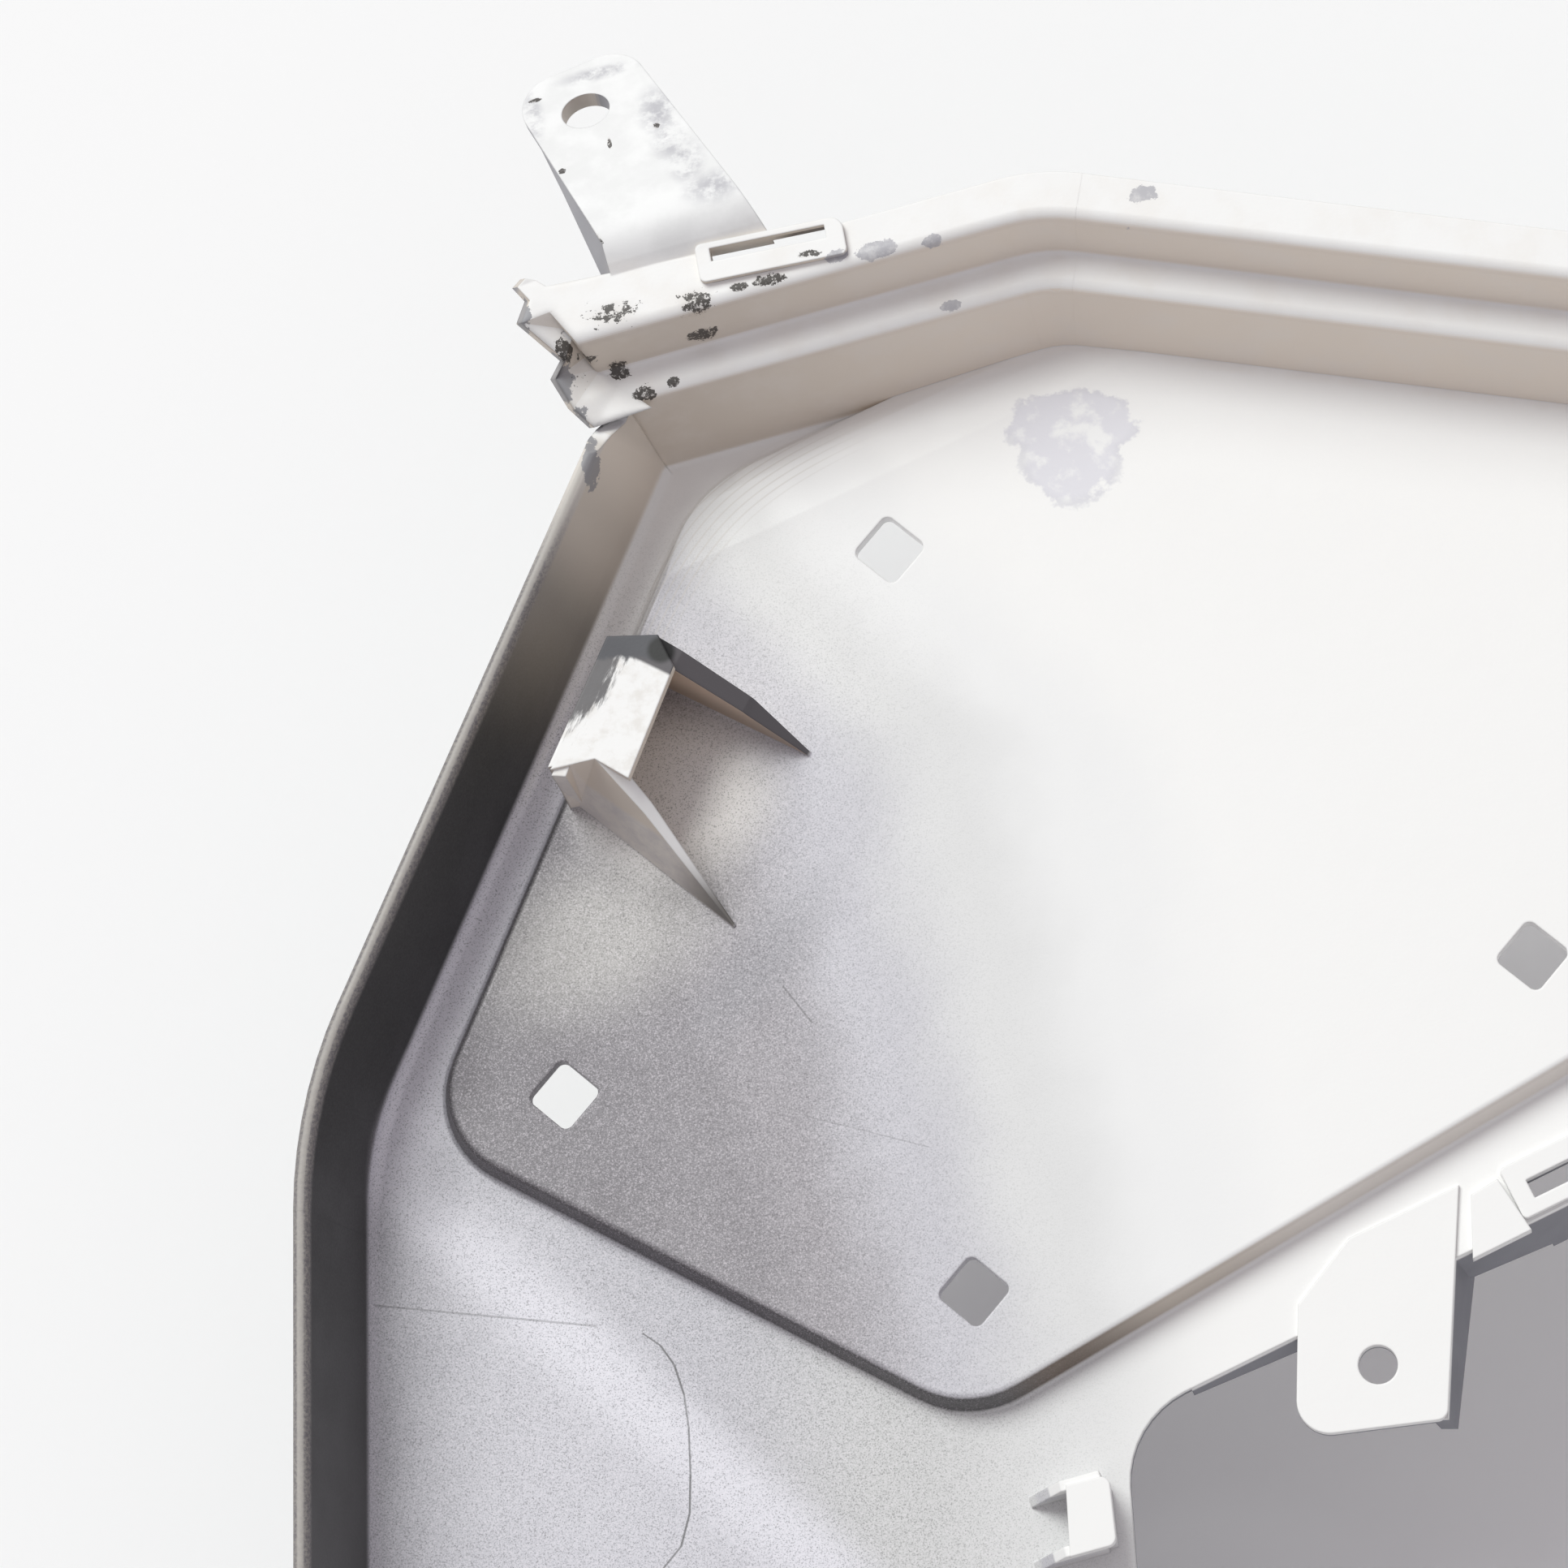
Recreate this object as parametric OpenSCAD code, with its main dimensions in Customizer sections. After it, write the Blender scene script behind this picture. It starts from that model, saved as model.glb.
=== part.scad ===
// Left-hand side panel of a motorcycle, seen from its inner side: one ABS moulding.
// Millimetres. Origin: centre of the seat for the insert, on the outer face of the recess.
// +Z points into the machine, away from the painted outer face.
// The walls are swept along the corners of the floor, clockwise seen from above.

/* [Shell] */
// Wall thickness of the moulding
wall = 2.5; // [2:0.1:3]
// Radius inside the folds of the walls
fold_in = 1.2; // [0.8:0.1:1.6]
// Radius on the outside of the folds
fold_out = 2.2; // [1.2:0.1:2.4]

/* [Floor outline] */
// X of the corner where the rim bends
bend_x = 10; // [6:0.5:14]
// Y of the corner where the rim bends
bend_y = 99.5;
// Radius of the bend of the rim
bend_r = 12; // [8:1:20]
// Length of the left run of the rim
rim_left_len = 64.3; // [60:0.1:68]
// Slope of the left run of the rim, degrees
rim_left_angle = 14.9; // [13:0.1:17]
// Length of the right run of the rim
rim_right_len = 167.5; // [164:0.5:172]
// Fall of the right run of the rim, degrees
rim_right_angle = 8.8; // [7:0.1:10]
// Length of the right edge
right_len = 65.6; // [62:0.1:68]
// Length of the edge with the return wall
return_len = 172.8; // [168:0.1:176]
// Slope of the edge with the return wall, degrees
return_angle = 26.26; // [25:0.1:28]
// Radius of the corner of the opening
opening_r = 15; // [10:1:20]
// Length of the edge beside the opening
opening_len = 97.1; // [90:0.5:105]
// Lean of the edge beside the opening, degrees
opening_lean = 4.4; // [2:0.1:7]
// Radius of the foot of that edge
foot_r = 10; // [8:1:16]
// Length of the lower edge
bottom_len = 119.3; // [112:0.5:125]
// Radius of the lower left corner
bottom_r = 25; // [16:1:30]
// Length of the lower run of the left wall
left_len = 140.7; // [134:0.5:146]
// Lean of the lower run of the left wall, degrees
left_lean = 2; // [0:0.2:4]
// Radius of the elbow of the left wall
elbow_r = 70; // [50:5:90]

/* [Left wall] */
// Height of the left wall over the floor
wall_h = 24; // [20:0.5:26]
// Draft of the left wall, degrees
wall_draft = 12; // [8:0.5:14]
// Run over which the lower wall falls to the floor
taper_len = 74; // [60:1:90]

/* [Rim] */
// Height of the ledge
ledge_h = 19.5; // [17:0.5:21]
// Run of the lower wall of the rim
lower_run = 5.2; // [4.4:0.1:6]
// Width of the ledge
ledge_w = 6; // [5.5:0.1:7]
// Height of the flange
flange_h = 29.5; // [28:0.5:31]
// Run of the upper wall of the rim
upper_run = 2; // [1.5:0.1:3]
// Width of the flange
flange_w = 7.3; // [7:0.1:9]
// Length over which the wall at the right end falls to the floor
end_fall = 46; // [40:1:60]
// How much wider the flange gets towards the left end
flange_spread = 3.2; // [2:0.1:4]
// Run over which the flange gets wider
spread_run = 34; // [28:1:40]

/* [Return wall] */
// Depth of the return wall at the right
return_depth = 12; // [8:0.5:14]
// Draft of the return wall, degrees
return_draft = 14; // [8:0.5:16]
// Distance from the opening corner at which the return wall starts
return_start = 11; // [8:0.5:20]
// Run over which the return wall gets its depth
return_run = 64; // [50:1:90]

/* [Insert plate] */
// Height of the plate over the floor
plate_step = 4.5; // [4:0.1:5.5]
// Draft of the side of the plate, degrees
plate_draft = 15; // [10:1:20]
// X of the left corner of the plate
plate_left_x = -86.7;
// Y of the left corner of the plate
plate_left_y = -23.7;
// X of the top left corner of the plate
plate_top_x = -46.1;
// Y of the top left corner of the plate
plate_top_y = 78.3;
// Distance along the rim where the plate reaches it
plate_meet = 55; // [50:0.5:58]
// Length of the plate along the right run of the rim
plate_run = 149.8; // [130:0.1:155]
// X of the bottom corner of the plate
plate_bottom_x = -2.7;
// Y of the bottom corner of the plate
plate_bottom_y = -67.8;
// Y of the lower right corner of the plate
plate_right_y = 27.7; // [22:0.1:34]
// Width of the soft edge at the top left
soft_w = 11; // [8:0.5:12]
// Fall of the soft edge, degrees
soft_angle = 12; // [8:1:16]

/* [Clip holes] */
// Side of the square clip holes
clip_side = 8.2; // [7:0.1:9]
// Corner radius of the clip holes
clip_r = 1.3; // [0.8:0.1:2]
// Turn of the clip holes, degrees
clip_turn = 50.5; // [45:0.5:56]
// X of the upper clip hole
clip_a_x = -16.15;
// Y of the upper clip hole
clip_a_y = 67.4;
// X of the left clip hole
clip_b_x = -65.2;
// Y of the left clip hole
clip_b_y = -18.4;
// X of the lower clip hole
clip_c_x = -2;
// Y of the lower clip hole
clip_c_y = -49.2;
// X of the right clip hole
clip_d_x = 82.2;
// Y of the right clip hole
clip_d_y = 1.55;

/* [Upper tab] */
// Distance of the tab from the left end of the rim
tab_at = 14.2; // [12:0.1:16]
// Width of the tab at its root
tab_root_w = 25; // [23:0.5:26]
// Width of the tab at its tip
tab_tip_w = 20; // [18:0.5:21]
// Sideways lean of the tab, degrees
tab_lean = 14.6; // [12:0.2:17]
// Reach of the tab over the edge of the flange
tab_reach = 42; // [39:0.5:45]
// Slope of the face of the tab, degrees
tab_slope = 27; // [22:1:32]
// Reach of the fold of the tab
tab_fold = 5.5; // [5:0.5:7]
// Height of the fold over the flange
tab_rise = 3.3; // [2.8:0.1:4]
// Radius of the fold of the tab
tab_fold_r = 8; // [5:0.5:9]
// Radius of the hole in the tab
tab_hole_r = 3.85; // [3:0.05:4.5]
// Distance of the hole from the tip, along the reach
tab_hole_back = 10.4; // [8:0.1:12]
// Sideways place of the hole
tab_hole_u = -11.3; // [-13:0.1:-9]
// Depth of the side rib of the tab at its root
tab_rib = 10; // [6:0.5:12]

/* [Slots] */
// Length of the slot over the flange
slot_l = 18; // [14:0.5:19]
// Width of the slot over the flange
slot_w = 2.1; // [1.6:0.1:2.4]
// Length of the boss of the slot
boss_l = 23; // [22:0.5:26]
// Width of the boss of the slot
boss_w = 6.2; // [5.5:0.1:7]
// Height of the bosses over the face they stand on
boss_h = 1; // [0.6:0.1:1.5]
// Width of the slot near the return wall
low_slot_w = 3; // [2.4:0.1:3.4]
// Distance of the lower boss from the opening corner
low_boss_at = 67; // [66:0.5:72]

/* [Lower tab] */
// Width of the lower tab
low_tab_w = 22.6; // [20:0.2:24]
// Distance of the lower tab from the opening corner
low_tab_at = 31.5; // [30:0.5:34]
// Reach of the lower tab over the edge
low_tab_reach = 20; // [17:0.5:22]
// Radius of the hole in the lower tab
low_hole_r = 2.95; // [2.4:0.05:3.4]
// Distance of the hole from the left side of the lower tab
low_hole_x = 12.3; // [10:0.1:15]
// Distance of the hole from the end of the lower tab
low_hole_y = 10.8; // [8:0.1:12]
// Depth of the rib of the lower tab at its root
low_rib = 12; // [8:0.5:13]

/* [Hooks] */
// Height of the large hook over the floor
hook_h = 23; // [20:0.5:24]
// Wall thickness of the hooks
hook_wall = 2; // [1.6:0.1:2.4]
// Height of the small hook over the floor
small_hook_h = 8; // [7:0.5:10]
// Wall thickness of the small hook
small_wall = 1.6; // [1.4:0.1:2]

/* [Hidden] */
$fn = 36;
floor_z = wall - plate_step;
lap = 5;
tall = return_len / 2;
grow = 0.02;
joint = 0.3;
hair = 0.006;

// Corners of the floor, each [x, y, radius], clockwise seen from above.
function heading(a) = [cos(a), sin(a)];
v1 = [bend_x, bend_y];
v0 = v1 - rim_left_len * heading(rim_left_angle);
v2 = v1 + rim_right_len * heading(-rim_right_angle);
v3 = v2 - [0, right_len];
v4 = v3 - return_len * heading(return_angle);
v5 = v4 + opening_len * heading(opening_lean - 90);
v6 = v5 - [bottom_len, 0];
v7 = v6 + left_len * heading(90 + left_lean);

function corner(v, r) = [v[0], v[1], r];
floor_path = [
    corner(v0, 0), corner(v1, bend_r), corner(v2, 0), corner(v3, 0),
    corner(v4, opening_r), corner(v5, foot_r), corner(v6, bottom_r), corner(v7, elbow_r)
];

// Vector helpers for the paths.
function at(p, i) = [p[i][0], p[i][1]];
function wrap(p, i) = (i + len(p)) % len(p);
function unit(v) = v / norm(v);
function run(p, i) = unit(at(p, wrap(p, i + 1)) - at(p, wrap(p, i)));
function right_of(d) = [d[1], -d[0]];
function angle_of(d) = atan2(d[1], d[0]);
function turn_of(a, b) = atan2(a[0] * b[1] - a[1] * b[0], a * b);
function turn_at(p, i) = turn_of(run(p, wrap(p, i - 1)), run(p, i));
function trim_at(p, i) = p[i][2] * tan(abs(turn_at(p, i)) / 2);

// A corner moved inwards by a from the edge before it and by b from the edge after it.
function moved(v, d0, d1, a, b) =
    let (n0 = right_of(d0), n1 = right_of(d1), c = n0 * n1)
    v + (a - b * c) / (1 - c * c) * n0 + (b - a * c) / (1 - c * c) * n1;

// A closed path moved inwards, with one distance for each edge.
function inset(p, d) = [
    for (i = [0 : len(p) - 1])
        let (a = d[wrap(p, i - 1)], b = d[i], v = moved(at(p, i), run(p, wrap(p, i - 1)), run(p, i), a, b))
        corner(v, p[i][2] == 0 ? 0 : p[i][2] - sign(-turn_at(p, i)) * (a + b) / 2)
];

function all(d, p) = [for (i = p) d];

// The space between a corner and the arc that rounds it, a little over the corner.
module corner_patch(v, before, after, r) {
    d0 = unit(before - v);
    d1 = unit(after - v);
    half = acos(d0 * d1) / 2;
    c = v + (r / sin(half) - hair) * unit(d0 + d1);
    t0 = v + r / tan(half) * d0;
    t1 = v + r / tan(half) * d1;
    reach = 1 + 0.6 / r;
    difference() {
        polygon([c, c + (t0 - c) * reach, v + 0.6 * unit(v - c), c + (t1 - c) * reach]);
        translate(c) circle(r, $fn = r < 4 ? 20 : 40);
    }
}

// A closed outline with true arcs in its corners.
module rounded(p) {
    last = len(p) - 1;
    difference() {
        union() {
            polygon([for (v = p) [v[0], v[1]]]);
            for (i = [0 : last])
                if (p[i][2] > 0 && turn_at(p, i) > 0)
                    corner_patch(at(p, i), at(p, wrap(p, i - 1)), at(p, wrap(p, i + 1)), p[i][2]);
        }
        for (i = [0 : last])
            if (p[i][2] > 0 && turn_at(p, i) < 0)
                corner_patch(at(p, i), at(p, wrap(p, i - 1)), at(p, wrap(p, i + 1)), p[i][2]);
    }
}

// An outline in short chords, for a core that stays inside the swept edges.
function chord_corner(p, i, more) =
    let (t = turn_at(p, i), d = run(p, wrap(p, i - 1)), r = p[i][2] + more,
         s = at(p, i) - r * tan(abs(t) / 2) * d, side = sign(-t), c = s + side * r * right_of(d), n = 5)
    p[i][2] == 0 ? [at(p, i)] : [for (k = [0 : n]) c - side * r * right_of(heading(angle_of(d) + t * k / n))];
function chords(p, more = 3) = [for (i = [0 : len(p) - 1]) for (q = chord_corner(p, i, more)) q];

// Section of a folded wall: a line of points, the wall to the right of it, arcs in the folds.
function wall_back(p, w) = [
    for (i = [0 : len(p) - 1])
        i == 0 ? p[0] + w * right_of(unit(p[1] - p[0])) :
        i == len(p) - 1 ? p[i] + w * right_of(unit(p[i] - p[i - 1])) :
        moved(p[i], unit(p[i] - p[i - 1]), unit(p[i + 1] - p[i]), w, w)
];

// The line that is drawn: grown by g, with its start drawn back in the bends.
back_in = 50;
function drawn(p, g) =
    let (q = wall_back(p, -g), e = len(p) - 1)
    [for (i = [0 : e]) i == 0 ? q[0] + back_in * g * unit(p[1] - p[0]) :
        i == e ? q[e] + g * unit(p[e] - p[e - 1]) : q[i]];

module folded(line, wall_t, fold_a, fold_b, g) {
    p = drawn(line, g);
    w = wall_t + 2 * g;
    r_in = fold_a - g;
    r_out = fold_b + g;
    b = wall_back(p, w);
    last = len(p) - 1;
    difference() {
        union() {
            polygon(concat(p, [for (i = [last : -1 : 0]) b[i]]));
            for (i = [1 : last - 1])
                if (turn_of(p[i] - p[i - 1], p[i + 1] - p[i]) > 0)
                    corner_patch(p[i], p[i - 1], p[i + 1], r_in);
                else
                    corner_patch(b[i], b[i - 1], b[i + 1], r_in);
        }
        for (i = [1 : last - 1])
            if (turn_of(p[i] - p[i - 1], p[i + 1] - p[i]) > 0)
                corner_patch(b[i], b[i - 1], b[i + 1], r_out);
            else
                corner_patch(p[i], p[i - 1], p[i + 1], r_out);
    }
}

// A section swept along a path: 2D x points outwards, 2D y points up.
// The second child is the section of the bends, a hair larger, so that each joint is a clean one.
module straight(p, q, before, after) {
    d = unit(q - p);
    translate([p[0] + before * d[0], p[1] + before * d[1], 0])
        rotate([0, 0, angle_of(d)]) rotate([90, 0, 90])
            linear_extrude(norm(q - p) - before - after) children();
}

module bend(v, d0, d1, r) {
    turn = turn_of(d0, d1);
    side = sign(-turn);
    start = v - r * tan(abs(turn) / 2) * d0;
    c = start + side * r * right_of(d0);
    translate([c[0], c[1], 0])
        rotate([0, 0, angle_of(-side * right_of(side > 0 ? d1 : d0))])
            rotate_extrude(angle = abs(turn)) translate([r, 0]) flip_side(side) children();
}

module flip_side(side) {
    if (side > 0)
        children();
    else
        mirror([1, 0]) children();
}

module sweep(p, closed = false) {
    n = len(p);
    for (i = [0 : closed ? n - 1 : n - 2]) {
        j = wrap(p, i + 1);
        a = p[i][2] > 0 && (closed || i > 0) ? trim_at(p, i) - joint : 0;
        b = p[j][2] > 0 && (closed || i < n - 2) ? trim_at(p, j) - joint : 0;
        straight(at(p, i), at(p, j), a, b) children(0);
    }
    for (i = [closed ? 0 : 1 : closed ? n - 1 : n - 2])
        if (p[i][2] > 0)
            bend(at(p, i), run(p, wrap(p, i - 1)), run(p, i), p[i][2]) children(1);
}

// A place on an edge of the floor: distance from its first corner, then outwards.
function on_edge(p, i, t, s) = at(p, i) + t * run(p, i) - s * right_of(run(p, i));
module edge_frame(i, t, s) {
    v = on_edge(floor_path, i, t, s);
    translate([v[0], v[1], 0]) rotate([0, 0, angle_of(run(floor_path, i))]) children();
}

// A sheet of flat facets: points and facets counter-clockwise seen from the side v points to.
// It is v thick, times a share for each point.
function fan(p) = [for (i = [1 : len(p) - 2]) [0, i, i + 1]];
module sheet(p, tris, v, share) {
    n = len(p);
    polyhedron(
        points = concat(p, [for (i = [0 : n - 1]) p[i] + share[i] * v]),
        faces = concat(
            tris,
            [for (t = tris) [t[0] + n, t[2] + n, t[1] + n]],
            [for (i = [0 : n - 1]) [i, i + n, (i + 1) % n + n]],
            [for (i = [0 : n - 1]) [i, (i + 1) % n + n, (i + 1) % n]]));
}

// Floor, up to its free edges at the right and swept into the walls elsewhere.
slab_in = [1, 1, -1, 0, 0, lap / 2, lap / 2, lap / 2];
module floor_slab() {
    path = inset(floor_path, slab_in);
    back = opening_r * tan(turn_at(path, 4) / 2);
    start = at(path, 4) - back * run(path, 3);
    centre = start - opening_r * right_of(run(path, 3));
    cut = [start + joint * run(path, 3), centre, at(path, 4) + (back - joint) * run(path, 4)];
    translate([0, 0, grow - wall]) linear_extrude(wall - grow) difference() {
        polygon([for (i = [0 : 7]) for (q = i == 4 ? cut : chord_corner(path, i, 3)) q]);
        translate(centre) circle(opening_r);
    }
}

// Return wall that hangs from the lower right edge and gets shallower towards the opening.
module return_wall() {
    drop = return_depth * tan(return_draft);
    p = [[-lap, 0], [0, 0], [drop, -return_depth]];
    b = wall_back(p, wall);
    difference() {
        straight(v3 - 2 * lap * heading(return_angle + 180), v4, 0, return_start) {
            polygon([p[0], p[1], p[2], b[2], b[1], b[0]]);
            corner_patch(b[1], b[0], b[2], fold_in);
        }
        translate([v4[0], v4[1], 0]) rotate([0, 0, return_angle]) rotate([90, 0, 0])
            translate([return_start - lap, 0, -tall / 2]) linear_extrude(tall)
                polygon([[0, -wall - 0.3], [lap, -wall - 0.3], [return_run, -return_depth + 1],
                         [return_run, -tall / 2], [0, -tall / 2]]);
    }
}

// Left wall with its rounded lip, falling to the floor along the lower edge.
module left_section(g) {
    run_out = wall_h * tan(wall_draft);
    tip = [run_out, wall_h] - wall / 2 * [sin(wall_draft), cos(wall_draft)];
    folded([[-lap, 0], [0, 0], tip], wall, fold_in + 1, fold_out + 1.5, g);
    translate(tip + wall / 2 * [cos(wall_draft), -sin(wall_draft)])
        circle(wall / 2 + g + hair, $fn = 20);
}

module left_wall() {
    path = [corner(v5 - [foot_r, 0], 0), floor_path[6], floor_path[7], corner(v0 + unit(v0 - v7) * tall / 4, 0)];
    difference() {
        sweep(path) {
            left_section(0);
            left_section(grow);
        }
        translate([v5[0] - foot_r, v5[1] + tall / 2, 0]) rotate([90, 0, 0])
            linear_extrude(tall) polygon([[1, 0], [-taper_len, wall_h + 1], [-taper_len, tall], [1, tall]]);
        translate([v0[0], v0[1], 0]) rotate([0, 0, angle_of(run(floor_path, 7))]) rotate([90, 0, 0])
            translate([0, 0, -tall / 2]) linear_extrude(tall)
                polygon([[tall, 18.8], [0, 18.8], [-3.3, 21.4], [-9, wall_h + 0.5], [-9, tall], [tall, tall]]);
        mitre_cut(true);
    }
}

// One side of the mitre between left wall and rim: the rim's side, or the wall's.
module mitre_cut(rim_side) {
    d = unit(-right_of(run(floor_path, 7)) - right_of(run(floor_path, 0)));
    translate([v0[0], v0[1], -tall]) rotate([0, 0, angle_of(d)])
        translate([-tall, rim_side ? -tall : 0, 0]) cube([2 * tall, tall, 2 * tall]);
}

// Stepped rim: lower wall, ledge, upper wall and flange.
function rim_line() = [
    [-lap, 0], [0, 0], [lower_run, ledge_h], [lower_run + ledge_w, ledge_h],
    [lower_run + ledge_w + upper_run, flange_h],
    [lower_run + ledge_w + upper_run + flange_w, flange_h]
];
rim_out = lower_run + ledge_w + upper_run + flange_w;

module rim() {
    start = v0 - tall / 2 * heading(rim_left_angle);
    difference() {
        sweep([corner(start, 0), floor_path[1], corner(v2 + lap * heading(-rim_right_angle), 0)]) {
            folded(rim_line(), wall, fold_in, fold_out, 0);
            folded(rim_line(), wall, fold_in, fold_out, grow);
        }
        mitre_cut(false);
    }
}

// Wedge by which the flange gets wider towards its left end.
mitre = (angle_of(run(floor_path, 7)) - rim_left_angle) / 2;
spread_angle = atan(flange_spread / (spread_run + rim_out * tan(mitre)));
module flange_wedge() {
    inner = rim_out - 2.5;
    outer = rim_out + flange_spread;
    edge_frame(0, 0, 0) translate([0, 0, flange_h - wall]) linear_extrude(wall)
        polygon([[spread_run, rim_out - 0.1], [spread_run, inner], [0.3 - inner * tan(mitre), inner],
                 [0.3 - outer * tan(mitre), outer]]);
}

// A point at the rim's left end: u along the line with angle a, w outwards, at height z.
function by_end(a, u, w, z) = concat(v0 + u * heading(a) + w * heading(a + 90), z);
function by_rim(u, w, z) = by_end(rim_left_angle, u, w, z);
function by_wall(u, w, z) = by_end(angle_of(v0 - v7), u, w, z);

// Torn skirt that joins the left end of the rim to the lip of the wall.
module skirt() {
    under = [-1.2, 0.6, -2.2];
    top = [
        by_rim(1.45, 3.37, 19.4), by_rim(-2.79, 8.43, 19.4), by_rim(-4.68, 11.83, 19.4),
        by_rim(-5.52, 14.13, 21), by_rim(-6.81, 16.64, 26), by_rim(-7.06, 19.61, 29.4),
        by_rim(-8.94, 23.42, 29.4), by_rim(-10.4, 24.95, 29.4), by_rim(-11.89, 25.55, 29.8),
        by_rim(-13.41, 24.51, 29.8), by_rim(-12.04, 21.87, 29.8), by_rim(-14.13, 18.7, 29.8),
        by_rim(-9.3, 12.34, 26), by_wall(1.04, 15.2, 25.5), by_wall(-2, 11.03, 24.2),
        by_wall(-3.32, 7.13, 22.6)
    ];
    sheet([for (q = top) q + under], [
        [0, 1, 15], [15, 1, 14], [1, 2, 14], [14, 2, 13], [2, 3, 13], [13, 3, 12], [3, 4, 12],
        [12, 4, 11], [4, 5, 11], [11, 5, 10], [5, 6, 10], [10, 6, 9], [6, 7, 9], [9, 7, 8]
    ], -under, all(1, top));
}

// Plain end that closes the rim at the right and falls along the right edge.
module end_wall() {
    r = rim_line();
    translate([v2[0] - wall, v2[1], 0]) rotate([90, 0, 90]) linear_extrude(wall + 1)
        polygon([
            [-end_fall, -wall / 2], [-end_fall, 1], [-lap * 3, ledge_h],
            [r[3][0], ledge_h + lap], r[4] + [0.9, -1.1], r[5] - [1, 1.3], r[5] - [1, wall - 0.4],
            r[4] + [wall - 0.3, -wall + 0.4], r[3] + [wall - 0.3, -wall + 0.4], r[2] + [wall - 0.4, -wall],
            [wall / 2 - 0.3, -wall / 2]
        ]);
}

module right_cut() {
    translate([v2[0], v3[1] - tall, -tall / 2]) cube([tall, 3 * tall, 2 * tall]);
}

// Raised plate that carries the insert on its outer side.
plate_out = 3;
p2 = on_edge(floor_path, 0, plate_meet, plate_out);
p3 = on_edge(floor_path, 0, rim_left_len, plate_out);
p4 = on_edge(floor_path, 1, plate_run, plate_out);
plate_path = [
    [plate_top_x, plate_top_y, 22], corner(p2, 12), corner(p3, 18), corner(p4, 12),
    [p4[0], plate_right_y, 15], [plate_bottom_x, plate_bottom_y, 15], [plate_left_x, plate_left_y, 13.5]
];
plate_foot = plate_step * tan(plate_draft);

// Everything outside the side of the plate, with a soft top edge and a fillet at the foot.
module plate_side(g) {
    top = [-g, plate_step];
    foot = [plate_foot - g, -0.05 - g];
    beyond = 4 * lap;
    difference() {
        union() {
            polygon([[-g, plate_step + 1], top, foot, [beyond, foot[1]], [beyond, plate_step + 1]]);
            corner_patch(top, [-lap, plate_step], foot, fold_in + g);
        }
        corner_patch(foot, top, [beyond, foot[1]], fold_in - g);
    }
}

// Falls of the soft edge, as shares of its width and slope.
soft_falls = [[1, 0.4], [0.7, 0.9], [0.4, 2.2]];
module soft_edge(drop) {
    translate([plate_top_x, plate_top_y, plate_step - drop]) rotate([0, 0, angle_of(run(plate_path, 0))])
        for (fall = soft_falls)
            translate([-tall, -soft_w * fall[0], 0]) rotate([-soft_angle * fall[1], 0, 0])
                translate([0, -lap, 0]) cube([3 * tall, tall, tall]);
}

module plate() {
    intersection() {
        difference() {
            translate([0, 0, -1.2]) linear_extrude(plate_step + 1.2)
                polygon(chords(inset(plate_path, all(-lap / 2, plate_path)), 0));
            sweep(plate_path, true) {
                plate_side(0);
                plate_side(grow);
            }
            intersection() {
                soft_edge(0);
                translate([-tall * 2, -tall, 0.5]) cube([tall * 4, tall * 4, tall]);
            }
        }
        translate([0, 0, -wall]) linear_extrude(tall)
            polygon(chords(inset(floor_path, all(-1.7, floor_path)), 0));
    }
}

// Recess in the outer face, one wall thickness under the plate.
recess_in = 1.9;
recess_top = plate_out + 3;
recess_path = inset(plate_path, [recess_in, recess_top, recess_top, recess_in, recess_in, recess_in, recess_in]);

// Everything outside the side of the recess.
module recess_side(g) {
    top = plate_step - wall;
    low = -wall - 2;
    beyond = 4 * lap;
    polygon([[-g, top + 1], [-g, top], [(top - low) * tan(plate_draft) - g, low], [beyond, low], [beyond, top + 1]]);
}

module recess() {
    difference() {
        translate([0, 0, -wall - 1]) linear_extrude(plate_step + 1)
            polygon(chords(inset(recess_path, all(-lap / 2, recess_path)), 0));
        sweep(recess_path, true) {
            recess_side(0);
            recess_side(grow);
        }
        soft_edge(wall);
    }
}

// Square through-hole for a trim clip.
module clip_hole(x, y) {
    side = clip_side / 2;
    translate([x, y, -wall]) rotate([0, 0, clip_turn]) linear_extrude(plate_step + wall + 1)
        rounded([[-side, side, clip_r], [side, side, clip_r], [side, -side, clip_r], [-side, -side, clip_r]]);
}

// Gooseneck tab over the left run of the rim. Local x runs along the rim, y outwards.
tab_top = flange_h + tab_rise;
tab_fall = (tab_reach - tab_fold) * tan(tab_slope);
function tab_z(o) = tab_top - (o - tab_fold) * tan(tab_slope);

module tab_frame() {
    edge_frame(0, tab_at, rim_out + 1.5) children();
}

module tab_outline() {
    tip = -13.2 - tab_reach * tan(tab_lean) + 1.2;
    rounded([
        [-13.2, -2, 0], [-13.2, 5, 0], [tip, tab_reach - 2.6, 6.5],
        [tip + tab_tip_w, tab_reach + 0.6, 6], [tab_root_w - 12.3, -2, 0]
    ]);
}

module upper_tab() {
    tab_frame() {
        intersection() {
            translate([-tall / 2, 0, 0]) rotate([90, 0, 90]) linear_extrude(tall)
                folded([[-2.6, flange_h - 0.2], [0, flange_h - 0.2], [tab_fold, tab_top],
                        [tab_reach + 3, tab_z(tab_reach + 3)]], 2.7, fold_in, tab_fold_r, 0);
            linear_extrude(tall) tab_outline();
        }
        tab_side_rib();
    }
}

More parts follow.
